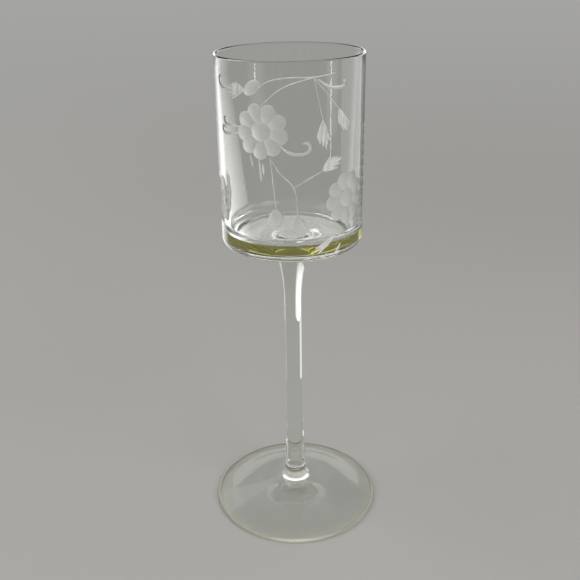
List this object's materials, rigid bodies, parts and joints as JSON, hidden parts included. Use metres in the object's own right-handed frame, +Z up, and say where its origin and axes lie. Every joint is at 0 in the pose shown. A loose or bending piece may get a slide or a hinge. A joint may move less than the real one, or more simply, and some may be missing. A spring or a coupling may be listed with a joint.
{
  "type": "cordial glass",
  "caption": "Small stemmed glass for cordials: straight-sided blown bowl with cut flowers, slim trumpet-topped stem and a round tent-shaped foot with a tall boss.",
  "frame": {"origin": "centre of the foot's resting ring, on the surface the glass stands on", "axes": "+Z up along the glass from foot to lip; the cut flowers' main spray faces -Y"},
  "size_m": [0.0552, 0.0552, 0.152],
  "materials": {
    "clear_glass": "fire-polished, faint green tint in thick sections"
  },
  "bodies": {
    "root": {"bowl": "clear_glass", "stem": "clear_glass", "foot": "clear_glass"}
  },
  "joints": []
}
